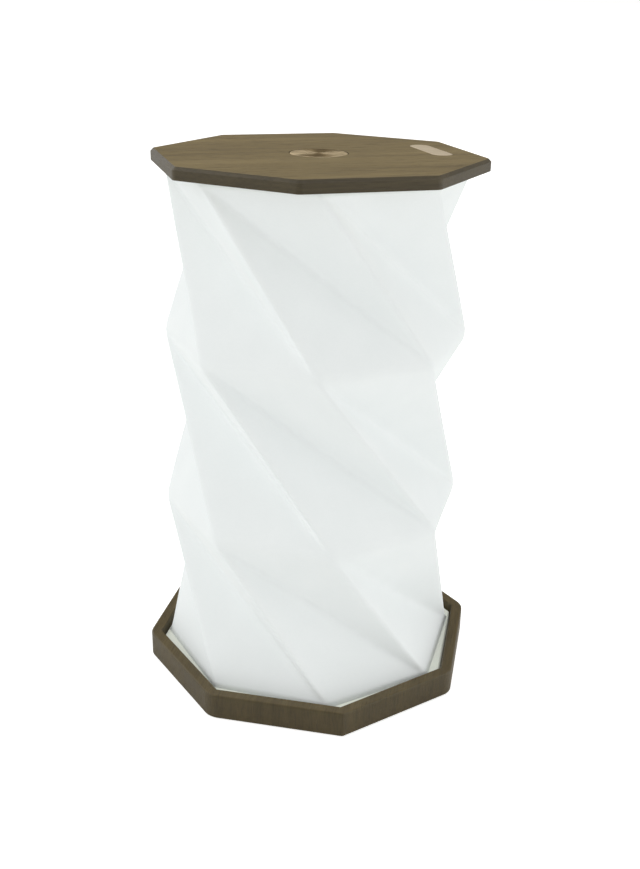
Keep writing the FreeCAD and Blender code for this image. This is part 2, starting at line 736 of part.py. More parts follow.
def make_socket():
    """Drawn steel shell, moulded tongue inside it and the thin plate round its mouth."""
    shell = new_body("socket_shell")
    outline = new_sketch(shell, "ShellOutline", f"-({SOCKET_BACK} - socket_long)", "XZ_Plane")
    draw_rectangle(
        outline, "shell", "socket_wide", "socket_high", "-socket_wide / 2", "socket_level - socket_high / 2"
    )
    block = pad(shell, outline, "socket_long")
    block.Reversed = True
    doc.recompute()
    mouth = new_sketch(shell, "ShellMouth", f"-({SOCKET_BACK} - socket_long + socket_wall)", "XZ_Plane")
    draw_rectangle(
        mouth,
        "mouth",
        "socket_wide - 2 * socket_wall",
        "socket_high - 2 * socket_wall",
        "-socket_wide / 2 + socket_wall",
        "socket_level - socket_high / 2 + socket_wall",
    )
    hollow = pocket(shell, mouth, "socket_long")
    corners = [
        ("socket_wide / 2 - socket_wall", "socket_round - socket_wall"),
        ("socket_wide / 2", "socket_round"),
    ]
    for side, radius in corners:
        far = size(side)
        lengthways = edge_names(
            hollow,
            lambda e: e.BoundBox.YLength > size("socket_wide / 2") and abs(abs(e.CenterOfMass.x) - far) < CLOSE,
        )
        hollow = round_edges(shell, hollow, lengthways, radius)
    keep(shell, "socket_shell")

    root = box(
        "TongueRoot",
        "socket_wide - 2 * socket_round",
        "tongue_root",
        "socket_high - 2 * socket_wall",
        "0",
        f"{SOCKET_BACK} - socket_long + socket_wall + tongue_root / 2",
        "socket_level - socket_high / 2 + socket_wall",
    )
    blade = box(
        "TongueBlade",
        "tongue_wide",
        "tongue_long",
        "tongue_high",
        "0",
        f"{SOCKET_BACK} - socket_long + socket_wall + tongue_root + tongue_long / 2",
        "socket_level - tongue_high / 2",
    )
    tongue = doc.addObject("Part::Fuse", "socket_tongue")
    tongue.Base = root
    tongue.Tool = blade
    keep(tongue, "socket_tongue")

    bezel = new_body("socket_bezel")
    frame = new_sketch(bezel, "BezelOutline", f"-({TRAY_HALF} - bezel_thick)", "XZ_Plane")
    draw_rectangle(
        frame,
        "plate",
        "bezel_wide - 2 * seat_gap",
        "bezel_high - 2 * seat_gap",
        "-bezel_wide / 2 + seat_gap",
        "socket_level - bezel_high / 2 + seat_gap",
    )
    plate = pad(bezel, frame, "bezel_thick")
    plate.Reversed = True
    doc.recompute()
    short = edge_names(plate, lambda e: e.BoundBox.YLength > size("bezel_thick") - CLOSE)
    round_edges(bezel, plate, short, "socket_round")
    hole = new_sketch(bezel, "BezelHole", f"-({TRAY_HALF} - 2 * bezel_thick)", "XZ_Plane")
    draw_rectangle(
        hole,
        "hole",
        "socket_wide - 2 * socket_wall",
        "socket_high - 2 * socket_wall",
        "-socket_wide / 2 + socket_wall",
        "socket_level - socket_high / 2 + socket_wall",
    )
    pocket(bezel, hole, "4 * bezel_thick")
    keep(bezel, "socket_bezel")


def make_glow_pipe():
    """Clear rod through the rear wall that shows the charging light."""
    rod = doc.addObject("Part::Cylinder", "charge_light")
    rod.setExpression("Radius", cells("glow_radius"))
    start = "board_back + socket_gap"
    rod.setExpression("Height", cells(f"{TRAY_HALF} - ({start})"))
    lying = Rotation(Vector(1, 0, 0), -90)
    rod.Placement = Placement(Vector(-size("glow_side"), size(start), size("socket_level")), lying)
    rod.setExpression(".Placement.Base.x", cells("-glow_side"))
    rod.setExpression(".Placement.Base.y", cells(start))
    rod.setExpression(".Placement.Base.z", cells("socket_level"))
    keep(rod, "charge_light")


def tube(points, radius):
    """A wire along straight runs, its corners rounded as widely as the shorter run allows."""
    edges = []
    start = points[0]
    for before, here, after in zip(points, points[1:], points[2:]):
        back = (before - here).normalize()
        onward = (after - here).normalize()
        turn = math.pi - math.acos(max(-1.0, min(1.0, back.dot(onward))))
        cut = 0.45 * min((before - here).Length, (after - here).Length)
        middle = (back + onward).normalize()
        bend = cut / math.tan(turn / 2)
        top = here + middle * (bend / math.cos(turn / 2) - bend)
        edges.append(Part.LineSegment(start, here + back * cut).toShape())
        edges.append(Part.Arc(here + back * cut, top, here + onward * cut).toShape())
        start = here + onward * cut
    edges.append(Part.LineSegment(start, points[-1]).toShape())
    path = Part.Wire(edges)
    ring = Part.Wire(Part.Circle(points[0], points[1] - points[0], radius).toShape())
    return path.makePipeShell([ring], True, True)


def make_wires():
    """Battery wires to their connector, and lamp wires down from the round board's hole to theirs."""
    radius = size("wire_radius")
    spread = size("wire_pitch") / 2
    start_spread = size("wire_start_pitch") / 2
    bow = size("wire_bow")
    plugged = Vector(0, size(CONNECTOR_FRONT), size(BOARD_TOP) + radius + size("seat_gap"))
    cell = Vector(0, size("battery_back"), size(COVER_TOP + " + foam_thick + battery_thick / 2"))
    lamp = Vector(0, size("led_circle / 2"), size(DECK_TOP + " - led_board_thick - seat_gap") - radius)
    routes = [("battery_wires", cell, "battery_plug_side", True), ("lamp_wires", lamp, "lamp_plug_side", False)]
    for label, start, plug, beside in routes:
        plug_at = plugged + Vector(size(plug), 0, 0)
        run = (plug_at.y - start.y) / 4
        wires = []
        for side in (-1, 1):
            begin = start + Vector((plug_at.x if beside else 0) + side * start_spread, 0, 0)
            end = plug_at + Vector(side * spread, 0, 0)
            first = begin + Vector(0, run, 0)
            last = end - Vector(0, run, 0)
            middle = (first + last) / 2 + Vector(side * bow, 0, 0)
            wires.append(tube([begin, first, middle, last, end], radius))
        made = doc.addObject("Part::Feature", label)
        made.Shape = Part.makeCompound(wires)
        keep(made, label)


def make_magnets(label, level, turn="0"):
    discs = [cylinder("Magnet", "magnet_radius", "magnet_thick", x, y) for x, y in MAGNETS]
    made = group(label, discs)
    place(made, "0", "0", level, turn)
    keep(made, label)


# ---------------------------------------------------------------- paper sleeve


def ring_point(radius, angle, level):
    turn = math.radians(angle)
    return Vector(radius * math.sin(turn), -radius * math.cos(turn), level)


def fold_rings(inset):
    """Corners of the four fold rings from the lid down, drawn in by the inset. Each ring's first corner
    is the one that the steep crease from the first corner above runs to."""
    radii = [size(name) for name in ("ring_lid", "ring_upper", "ring_lower", "ring_deck")]
    twists = [size(name) for name in ("twist_upper", "twist_middle", "twist_lower")]
    tiers = [size(name) for name in ("tier_upper", "tier_middle", "tier_lower")]
    angle = size("ring_lid_turn")
    level = size(SLEEVE_TOP)
    rings = []
    for k, radius in enumerate(radii):
        rings.append([ring_point(radius - inset, angle + STEP * c, level) for c in range(SIDES)])
        if k < len(twists):
            angle += twists[k]
            level -= tiers[k]
    return rings


def facet(*points):
    return Part.Face(Part.makePolygon(list(points) + [points[0]]))


def crease_facets(rings):
    """Two triangles for each side of each tier: a steep ridge runs from a corner to the one below it,
    and a long valley from the same corner to the next one along."""
    faces = []
    for upper, lower in zip(rings, rings[1:]):
        for c in range(SIDES):
            on = (c + 1) % SIDES
            faces.append(facet(upper[c], lower[c], lower[on]))
            faces.append(facet(upper[c], lower[on], upper[on]))
    return faces


def octagon_plate(radius, angle, level, high):
    """A flat octagonal prism."""
    corners = [ring_point(radius, angle + STEP * c, level) for c in range(SIDES)]
    return facet(*corners).extrude(Vector(0, 0, high))


def make_shade():
    """One creased paper sleeve, with an inward flap at each end to glue it by."""
    outer = fold_rings(0.0)
    inner = fold_rings(size("paper_thick"))
    faces = crease_facets(outer) + crease_facets(inner)
    for end in (0, -1):
        for c in range(SIDES):
            on = (c + 1) % SIDES
            faces.append(facet(outer[end][c], outer[end][on], inner[end][on], inner[end][c]))
    sleeve = Part.Solid(Part.Shell(faces))
    if sleeve.Volume < 0:
        sleeve.reverse()

    paper = size("paper_thick")
    deep = size("flap_deep")
    thick = size("flap_thick")
    twist = size("twist_upper + twist_middle + twist_lower")
    head_turn = size("ring_lid_turn")
    ends = [
        (size("ring_deck"), head_turn + twist, size(SLEEVE_FOOT)),
        (size("ring_lid"), head_turn, size(SLEEVE_TOP) - thick),
    ]
    flaps = []
    for radius, angle, level in ends:
        plate = octagon_plate(radius - paper / 2, angle, level, thick)
        hole = octagon_plate(radius - deep, angle, level - thick, 3 * thick)
        flaps.append(plate.cut(hole))
    made = doc.addObject("Part::Feature", "paper_shade")
    made.Shape = sleeve.fuse(flaps).removeSplitter()
    keep(made, "paper_shade")


def make_touch_lead():
    """Flat lead folded to and fro like a bellows, from the lamp unit's socket to the lid's contact."""
    low = size(DECK_TOP + " + lead_socket_high - lead_slit_deep + glue_film")
    high = size(LID_UNDER + " + head_thick - contact_thick")
    straight = size("lead_straight")
    folds = int(size("lead_folds"))
    swing = size("lead_swing") / 2
    half = size("lead_thick") / 2
    pitch = (high - low - 2 * straight) / folds
    line = [(0.0, low), (0.0, low + straight)]
    for k in range(folds):
        line.append((swing if k % 2 == 0 else -swing, low + straight + pitch * (k + 0.5)))
    line += [(0.0, high - straight), (0.0, high)]
    # the strip is as thick sideways as its slope needs
    wide = half * math.hypot(1.0, 2 * swing / pitch)
    halves = [half, half] + [wide] * folds + [half, half]
    left = -size("lead_wide") / 2
    rear = [Vector(left, y + thick, z) for (y, z), thick in zip(line, halves)]
    front = [Vector(left, y - thick, z) for (y, z), thick in zip(line, halves)]
    strip = facet(*rear, *reversed(front)).extrude(Vector(size("lead_wide"), 0, 0))
    made = doc.addObject("Part::Feature", "touch_lead")
    made.Shape = strip
    keep(made, "touch_lead")


# ---------------------------------------------------------------- lid and what is in it


def make_lid():
    """Octagonal board, bevelled above, with seats for the disc, the pill, the magnets and the head plate."""
    body = new_body("LidBoard")
    outline = new_sketch(body, "LidOutline")
    draw_octagon(outline, "corner", "lid_circum")
    board = pad(body, outline, "lid_thick")
    board = round_edges(body, board, edge_names(board, upright), "lid_round")
    board = bevel_edges(body, board, edge_names(board, level_at(size("lid_thick"))), "lid_bevel")
    round_edges(body, board, edge_names(board, level_at(0.0)), "lid_foot_round")

    disc = new_sketch(body, "DiscSeat", "lid_thick")
    draw_circle(disc, "seat", "disc_radius + disc_gap")
    pocket(body, disc, "disc_thick")
    bore = new_sketch(body, "ContactBore", "lid_thick")
    draw_circle(bore, "bore", "contact_bore")
    pocket(body, bore, "lid_thick")
    pill = new_sketch(body, "InlaySeat", "lid_thick")
    draw_rectangle(
        pill,
        "seat",
        "inlay_long + 2 * seat_gap",
        "inlay_wide + 2 * seat_gap",
        "inlay_aside - inlay_long / 2 - seat_gap",
        f"-({INLAY_OUT}) - inlay_wide / 2 - seat_gap",
    )
    seat = pocket(body, pill, "inlay_thick - inlay_proud")
    low, high = size("lid_thick - inlay_thick + inlay_proud"), size("lid_thick")
    walls = edge_names(
        seat,
        lambda e: upright(e)
        and abs(e.BoundBox.ZMin - low) < CLOSE
        and abs(e.BoundBox.ZMax - high) < CLOSE
        and from_axis(e) > size("disc_radius + disc_gap") + CLOSE,
    )
    round_edges(body, seat, walls, "inlay_wide / 2 + seat_gap / 2")
    magnets = new_sketch(body, "MagnetSeats")
    for k, (x, y) in enumerate(MAGNETS):
        draw_circle(magnets, f"seat{k}", "magnet_radius + seat_gap", x, y)
    pocket(body, magnets, "head_thick + magnet_thick + seat_gap", upward=True)
    place(body, "0", "0", LID_UNDER, "lid_open_turn")
    doc.recompute()

    # the head plate's seat follows the sleeve's top ring, which stands turned a little from the lid
    cutter = new_body("HeadSeat")
    ring = new_sketch(cutter, "HeadSeatOutline")
    draw_octagon(ring, "corner", "head_circum + head_gap")
    pad(cutter, ring, "head_thick + head_gap")
    place(cutter, "0", "0", LID_UNDER, f"ring_lid_turn - {HALF_STEP}")
    made = doc.addObject("Part::Cut", "lid")
    made.Base = body
    made.Tool = cutter
    keep(made, "lid_board")


def make_head_plate():
    """Thin white plate let into the lid's underside. The sleeve's top flap is glued to it."""
    body = new_body("head_plate")
    outline = new_sketch(body, "HeadOutline")
    draw_octagon(outline, "corner", "head_circum")
    pad(body, outline, "head_thick")
    bore = new_sketch(body, "HeadBore", "head_thick")
    draw_circle(bore, "bore", "lead_wide / 2 + disc_gap")
    pocket(body, bore, "head_thick")
    place(body, "0", "0", LID_UNDER, f"ring_lid_turn - {HALF_STEP}")
    keep(body, "head_plate")


def make_touch_disc():
    """Brass disc, flush in the lid, that switches and dims the lamp at a touch."""
    body = new_body("touch_disc")
    outline = new_sketch(body, "DiscOutline", LID_TOP + " - disc_thick")
    draw_circle(outline, "edge", "disc_radius")
    disc = pad(body, outline, "disc_thick")
    round_edges(body, disc, edge_names(disc, level_at(size(LID_TOP))), "disc_round")
    keep(body, "touch_disc")


def make_contact():
    """Sprung contact under the disc: a flange against the brass and a stem down to the flat lead."""
    top = LID_TOP + " - disc_thick"
    flange = cylinder("ContactFlange", "contact_radius", "contact_thick", z=f"{top} - contact_thick")
    foot = LID_UNDER + " + head_thick"
    stem = cylinder("ContactStem", "contact_stem", f"{top} - ({foot})", z=foot)
    made = doc.addObject("Part::Fuse", "touch_contact")
    made.Base = flange
    made.Tool = stem
    keep(made, "touch_contact")


def make_inlay():
    """Plain pill-shaped plate, let into the lid beside one flat."""
    body = new_body("inlay_plate")
    outline = new_sketch(body, "InlayOutline", "lid_thick - inlay_thick + inlay_proud")
    draw_rectangle(
        outline,
        "plate",
        "inlay_long",
        "inlay_wide",
        "inlay_aside - inlay_long / 2",
        f"-({INLAY_OUT}) - inlay_wide / 2",
    )
    plate = pad(body, outline, "inlay_thick")
    plate = round_edges(body, plate, edge_names(plate, upright), "inlay_wide / 2 - seat_gap / 2")
    top = edge_names(plate, level_at(size("lid_thick + inlay_proud")))
    bevel_edges(body, plate, top, "inlay_bevel")
    place(body, "0", "0", LID_UNDER, "lid_open_turn")
    keep(body, "inlay_plate")


# ---------------------------------------------------------------- build, check, write

make_tray()
make_foot_pads()
make_base_cover()
make_screws(
    "cover_screws",
    COVER_SCREWS,
    "pad_proud",
    "screw_head_radius",
    "screw_head_high",
    "screw_radius",
    "screw_long",
    "screw_recess",
)
make_deck()
make_magnets("deck_magnets", f"{DECK_UNDER} - magnet_thick")
make_battery()
make_control_board()
make_board_components()
make_screws(
    "board_screws",
    BOARD_BOSSES,
    f"{BOARD_UNDER} - board_screw_head_high",
    "board_screw_head",
    "board_screw_head_high",
    "board_screw_radius",
    "board_screw_long",
    "board_screw_recess",
)
make_socket()
make_glow_pipe()
make_wires()
make_led_board()
make_led_chips()
make_lead_socket()
make_diffuser()
make_shade()
make_touch_lead()
make_lid()
make_head_plate()
make_magnets("lid_magnets", LID_UNDER + " + head_thick + head_gap", "lid_open_turn")
make_touch_disc()
make_contact()
make_inlay()
doc.recompute()

for thing in doc.Objects:
    if {"Invalid", "Error"} & set(thing.State):
        raise RuntimeError(f"{thing.Label} did not recompute: {thing.State}")
for node in nodes:
    if node.Shape.isNull() or not node.Shape.isValid() or not node.Shape.Solids:
        raise RuntimeError(f"{node.Label} has no valid solid")

os.makedirs("parts", exist_ok=True)
for node in nodes:
    node.Shape.exportStep(f"parts/{node.Label}.step")
    box_mm = node.Shape.BoundBox
    print(
        f"{node.Label:18s} solids {len(node.Shape.Solids):2d}  volume {node.Shape.Volume:9.1f} mm3  "
        f"z {box_mm.ZMin:7.2f} to {box_mm.ZMax:7.2f}"
    )
print("lid travel", round(size(f"{LID_UNDER} - ({DECK_TOP} + folded_high)"), 3), "mm")
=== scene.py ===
# %% [markdown]
# # A folding paper lamp
# The lamp is an octagonal wooden tray, a creased paper sleeve and an octagonal wooden lid that screws
# down into the tray. Its hard pieces come from the engineering model and stay as they are. This script
# gives each of them a finish, makes the paper sleeve and the flat lead inside it as meshes, and sets up
# the camera, floor and light.

import math

import bmesh
import bpy
from mathutils import Matrix, Vector, noise


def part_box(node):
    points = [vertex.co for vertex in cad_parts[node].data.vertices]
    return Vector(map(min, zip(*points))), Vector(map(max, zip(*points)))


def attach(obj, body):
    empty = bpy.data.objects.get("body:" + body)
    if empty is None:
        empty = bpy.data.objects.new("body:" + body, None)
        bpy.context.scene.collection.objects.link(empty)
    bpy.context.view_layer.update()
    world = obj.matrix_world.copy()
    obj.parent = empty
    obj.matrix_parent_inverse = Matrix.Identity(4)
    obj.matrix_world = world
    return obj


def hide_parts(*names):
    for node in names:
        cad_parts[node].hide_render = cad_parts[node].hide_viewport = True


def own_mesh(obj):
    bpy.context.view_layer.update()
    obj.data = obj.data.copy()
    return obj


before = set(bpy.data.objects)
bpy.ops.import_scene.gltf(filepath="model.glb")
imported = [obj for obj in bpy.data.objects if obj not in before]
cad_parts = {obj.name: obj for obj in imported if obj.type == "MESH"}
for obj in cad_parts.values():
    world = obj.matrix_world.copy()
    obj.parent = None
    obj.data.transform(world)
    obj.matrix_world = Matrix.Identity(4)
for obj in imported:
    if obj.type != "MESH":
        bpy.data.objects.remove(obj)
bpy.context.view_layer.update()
MM = 0.001

# %% [markdown]
# ## The camera
# The picture was taken from the front, a little to the right and above. Heading, tilt and roll are
# turned one after the other, as a photographer would turn a tripod head, so each number can be
# understood by itself.

# %% Camera
CAMERA_AT = Vector((79.7, -387.4, 258.7)) * MM
CAMERA_HEADING = 11.26
CAMERA_TILT = 67.57
CAMERA_ROLL = 1.18
CAMERA_LENS = 44.4


def turned(angle, axis):
    """A rotation by an angle in degrees about X, Y or Z."""
    return Matrix.Rotation(math.radians(angle), 4, axis)


camera_data = bpy.data.cameras.new("camera")
camera_data.lens = CAMERA_LENS
camera = bpy.data.objects.new("camera", camera_data)
heading, tilt, roll = turned(CAMERA_HEADING, "Z"), turned(CAMERA_TILT, "X"), turned(CAMERA_ROLL, "Z")
camera.matrix_world = Matrix.Translation(CAMERA_AT) @ heading @ tilt @ roll
bpy.context.scene.collection.objects.link(camera)
bpy.context.scene.camera = camera
bpy.context.scene.view_settings.view_transform = "Standard"
print("camera at", [round(v, 3) for v in CAMERA_AT], "with a lens of", CAMERA_LENS, "mm")

# %% [markdown]
# ## Writing materials as sums
# A material is a net of nodes. Drawn by hand it is easy to read, but in a script it soon becomes a
# tangle, so a node's output is wrapped in a small class that knows Python's operators. Then
# `streak * 0.5 + 0.2` adds the two Math nodes itself. Everything else comes from one method that takes
# the node's type, its settings and its inputs.


# %% Signals and finishes
class Signal:
    """One output of a node, which can be added, multiplied and so on."""

    def __init__(self, net, socket):
        self.net = net
        self.socket = socket

    def maths(self, operation, *values):
        return self.net.node("ShaderNodeMath", {"operation": operation}, dict(enumerate(values)))

    def __add__(self, other):
        return self.maths("ADD", self, other)

    __radd__ = __add__

    def __mul__(self, other):
        return self.maths("MULTIPLY", self, other)

    __rmul__ = __mul__

    def __sub__(self, other):
        return self.maths("SUBTRACT", self, other)

    def __rsub__(self, other):
        return self.maths("SUBTRACT", other, self)

    def __abs__(self):
        return self.maths("ABSOLUTE", self)

    def above(self, low, high, before=0.0, after=1.0):
        """One number below low, another above high, and smooth between them."""
        inputs = {"Value": self, "From Min": low, "From Max": high, "To Min": before, "To Max": after}
        return self.net.node("ShaderNodeMapRange", {"interpolation_type": "SMOOTHSTEP"}, inputs)


class Net:
    """A tree of shader nodes. Plain numbers are set on a socket, and signals are linked to it."""

    def __init__(self, tree):
        self.tree = tree

    def plug(self, socket, value):
        if isinstance(value, Signal):
            self.tree.links.new(value.socket, socket)
        elif isinstance(value, (tuple, list)) and socket.type == "RGBA" and len(value) == 3:
            socket.default_value = (*value, 1.0)
        else:
            socket.default_value = value

    def node(self, kind, settings=None, inputs=None, output=0):
        """Adds a node, with its settings first and then its inputs. Returns one of its outputs."""
        made = self.tree.nodes.new(kind)
        for name, value in (settings or {}).items():
            if name == "stops":
                ramp = made.color_ramp
                for stop, (place, colour) in enumerate(value):
                    element = ramp.elements[stop] if stop < 2 else ramp.elements.new(place)
                    element.position = place
                    element.color = (*colour, 1.0)
            else:
                setattr(made, name, value)
        for name, value in (inputs or {}).items():
            self.plug(made.inputs[name], value)
        return Signal(self, made.outputs[output])


class Finish(Net):
    """A material round one Principled shader."""

    def __init__(self, name, **shader):
        self.material = bpy.data.materials.new(name)
        self.material.use_nodes = True
        super().__init__(self.material.node_tree)
        self.tree.nodes.clear()
        self.shader = self.tree.nodes.new("ShaderNodeBsdfPrincipled")
        self.output = self.tree.nodes.new("ShaderNodeOutputMaterial")
        self.shaded = Signal(self, self.shader.outputs[0])
        self.show(self.shaded)
        self.set(**shader)

    def show(self, shaded):
        """Links the shader, or a mix of shaders, to the surface."""
        self.plug(self.output.inputs["Surface"], shaded)

    def set(self, **shader):
        """Base_Color=..., Roughness=... and so on: an underscore stands for a space."""
        for name, value in shader.items():
            self.plug(self.shader.inputs[name.replace("_", " ")], value)

    def place(self, stretch=(1, 1, 1), turn=0.0, shift=(0, 0, 0)):
        """Object coordinates, shifted in metres, turned about Z and then multiplied along each axis."""
        rotation = (0, 0, math.radians(turn))
        where = self.node("ShaderNodeTexCoord", output="Object")
        where = self.node("ShaderNodeMapping", inputs={"Vector": where, "Location": shift})
        where = self.node("ShaderNodeMapping", inputs={"Vector": where, "Rotation": rotation})
        return self.node("ShaderNodeMapping", inputs={"Vector": where, "Scale": stretch})

    def cloud(self, where, scale=1.0, detail=3.0, roughness=0.5, distortion=0.0):
        """Soft noise, about 0.3 to 0.7."""
        inputs = {"Vector": where, "Scale": scale, "Detail": detail, "Roughness": roughness}
        return self.node("ShaderNodeTexNoise", None, inputs | {"Distortion": distortion})

    def colours(self, amount, *stops):
        """A colour ramp: the lowest stop, the highest and then any between them."""
        return self.node("ShaderNodeValToRGB", {"stops": stops}, {"Fac": amount})

    def blend(self, amount, first, second, way="MIX"):
        """Colours mixed by an amount from 0 to 1."""
        settings = {"data_type": "RGBA", "blend_type": way}
        return self.node("ShaderNodeMix", settings, {0: amount, 6: first, 7: second}, output=2)

    def relief(self, height, depth, strength=1.0):
        """Bumps of a depth in metres, for the shader's Normal."""
        inputs = {"Height": height, "Distance": depth, "Strength": strength}
        self.set(Normal=self.node("ShaderNodeBump", None, inputs))


# %% [markdown]
# ## Wood
# Lid and tray are dark walnut under a satin oil. A board's figure is a solid thing: the same layers show
# as long lines on its face and as short marks on its end grain. So the pattern is worked out in space,
# squeezed a lot across the grain and little along it, and each face of the piece cuts through it by
# itself. The lid's layers lie nearly flat and show as level lines on its edges. The tray's stand upright
# and show as upright streaks. Whatever doesn't face up or down is darkened as painted shade, so the
# sides come out darker than the top.

# %% Walnut
GRAIN_DARK = (0.120, 0.085, 0.032)
GRAIN_MIDDLE = (0.184, 0.134, 0.052)
GRAIN_LIGHT = (0.246, 0.184, 0.080)
PORE_DARK = (0.040, 0.028, 0.012)
PORE_DEPTH = 0.12 * MM
PORES_TO_A_MARK = (12, 14, 10)
FACE_LEVELNESS = (0.75, 0.97)
LID_TURN = -28.7


def walnut(name, turn, along, across, through, tone, side_shade_tone, streaks, shift):
    """Oiled walnut. Along, across and through say how many marks there are to the metre. The side shade
    tone is painted shade on every face that doesn't look up or down, and streaks says how strong the
    dark lines are."""
    wood = Finish(name, Specular_IOR_Level=0.36)
    marks = (along, across, through)
    figure = wood.place(marks, turn, shift)
    broad = wood.cloud(figure, 1.0, 4.0, 0.55, 0.35)
    lines = wood.cloud(figure, 5.0, 3.0, 0.6)
    fine = tuple(mark * pores for mark, pores in zip(marks, PORES_TO_A_MARK))
    pore = wood.cloud(wood.place(fine, turn, shift), 1.0, 2.0, 0.65).above(0.56, 0.70)
    tint = wood.colours(
        broad * 0.5 + lines * 0.5,
        (0.32, tuple(tone * c for c in GRAIN_DARK)),
        (0.68, tuple(tone * c for c in GRAIN_LIGHT)),
        (0.50, tuple(tone * c for c in GRAIN_MIDDLE)),
    )
    # Painted shade: faces that don't look up or down are darkened, so the sides come out darker than the
    # top.
    normal = wood.node("ShaderNodeTexCoord", output="Normal")
    upward = wood.node("ShaderNodeSeparateXYZ", None, {0: normal}, "Z")
    edge = 1.0 - abs(upward).above(*FACE_LEVELNESS)
    tint = wood.blend(edge, tint, side_shade_tone, "MULTIPLY")
    streak = lines.above(0.55, 0.66)
    wood.set(Base_Color=wood.blend(pore * 0.5 + streak * streaks, tint, PORE_DARK))
    wood.set(Roughness=0.42 + 0.16 * broad + 0.14 * pore)
    wood.relief(lines * 0.35 - pore, PORE_DEPTH, 0.6)
    return wood.material


lid_wood = walnut(
    "oiled_walnut_lid",
    turn=LID_TURN,
    along=9,
    across=120,
    through=420,
    tone=1.0,
    side_shade_tone=(0.29, 0.30, 0.33),
    streaks=0.35,
    shift=(0.31, 0.12, 0.05),
)
tray_wood = walnut(
    "oiled_walnut_tray",
    turn=-90.0,
    along=16,
    across=330,
    through=30,
    tone=0.54,
    side_shade_tone=(0.68, 0.68, 0.62),
    streaks=0.60,
    shift=(0.07, 0.23, 0.11),
)
print("woods:", lid_wood.name, "and", tray_wood.name)

# %% [markdown]
# ## Metals
# The disc in the lid is turned brass: its fine rings spread a highlight into two bright wedges. The
# Principled shader does that with anisotropy about the disc's middle, and rings in the relief break the
# wedges up. The pill-shaped plate is a paler metal with a straight, very fine brushing along the lid's
# grain. A lacquer takes some of its shine, so it is less metallic than the others.

# %% Spun and brushed metal
RING_DEPTH = 0.01 * MM
SCRATCH_DEPTH = 0.015 * MM


def spun_brass():
    brass = Finish("spun_brass", Metallic=1.0, Anisotropic=0.93)
    brass.set(Specular_Tint=(0.75, 0.60, 0.38))
    where = brass.place()
    rings = brass.node(
        "ShaderNodeTexWave",
        {"wave_type": "RINGS", "rings_direction": "Z"},
        {"Vector": where, "Scale": 900.0, "Distortion": 0.6, "Detail": 2.0},
        output=1,
    )
    haze = brass.cloud(where, 260.0, 3.0)
    brass.set(Base_Color=brass.colours(haze, (0.35, (0.62, 0.51, 0.34)), (0.7, (0.76, 0.63, 0.43))))
    brass.set(Roughness=0.22 + 0.12 * haze + 0.05 * rings)
    brass.relief(rings, RING_DEPTH, 0.35)
    return brass.material


def brushed(name, dark, light, roughness, turn=0.0, fineness=6000.0, metallic=1.0):
    """Metal brushed along one direction, turned about Z, with so many scratches to the metre."""
    metal = Finish(name, Metallic=metallic)
    scratches = metal.cloud(metal.place((fineness / 40, fineness, fineness), turn), 1.0, 2.0, 0.6)
    haze = metal.cloud(metal.place(), 160.0, 3.0)
    metal.set(Base_Color=metal.colours(scratches * 0.5 + haze * 0.5, (0.35, dark), (0.65, light)))
    metal.set(Roughness=roughness + 0.16 * scratches)
    metal.relief(scratches, SCRATCH_DEPTH, 0.4)
    return metal.material


disc_brass = spun_brass()
rose_metal = brushed(
    "brushed_rose_metal", (0.58, 0.47, 0.32), (0.68, 0.57, 0.41), 0.34, LID_TURN, metallic=0.35
)
zinc = brushed("zinc_plated_steel", (0.36, 0.36, 0.37), (0.52, 0.52, 0.52), 0.28, 0.0, 3000.0)
nickel = brushed("nickel_plate", (0.50, 0.48, 0.44), (0.62, 0.60, 0.56), 0.14, 30.0, 900.0)
drawn_steel = brushed("drawn_socket_steel", (0.40, 0.40, 0.41), (0.56, 0.56, 0.57), 0.22, 90.0, 5000.0)
copper = brushed("stamped_copper", (0.55, 0.30, 0.17), (0.70, 0.42, 0.26), 0.25, 0.0, 4000.0)
cell_foil = brushed("battery_foil", (0.40, 0.42, 0.45), (0.52, 0.54, 0.57), 0.34, 15.0, 700.0)
print("with the metals,", len(bpy.data.materials), "materials")

# %% [markdown]
# ## Plastics and rubber
# Moulded plastic is never quite plain. The mould's spark-eroded skin leaves a fine grain that blurs
# highlights, and the colour drifts a little over the piece. One function makes them all, and the numbers
# tell the white deck from the dark cover and the silicone feet. The white plates at the sleeve's ends
# pass some of the lamp's light, so they give off a little themselves.


# %% Moulded plastic
def moulded(name, colour, roughness, grain=2600.0, depth=0.02 * MM, drift=0.06, **shader):
    """Plastic or rubber, with so many grains to the metre, their depth in metres and how far its colour
    drifts, as a share of the colour."""
    plastic = Finish(name, **shader)
    skin = plastic.cloud(plastic.place(), grain, 2.0, 0.6)
    slow = plastic.cloud(plastic.place(), 45.0, 2.0)
    light = tuple(min(1.0, c * (1 + drift)) for c in colour)
    dark = tuple(c * (1 - drift) for c in colour)
    plastic.set(Base_Color=plastic.colours(slow * 0.8 + skin * 0.2, (0.35, dark), (0.65, light)))
    plastic.set(Roughness=roughness + 0.18 * (skin - 0.5))
    plastic.relief(skin, depth, 0.5)
    return plastic.material


LIT_FROM_INSIDE = {"Emission_Color": (0.97, 1.0, 0.9), "Emission_Strength": 0.14}
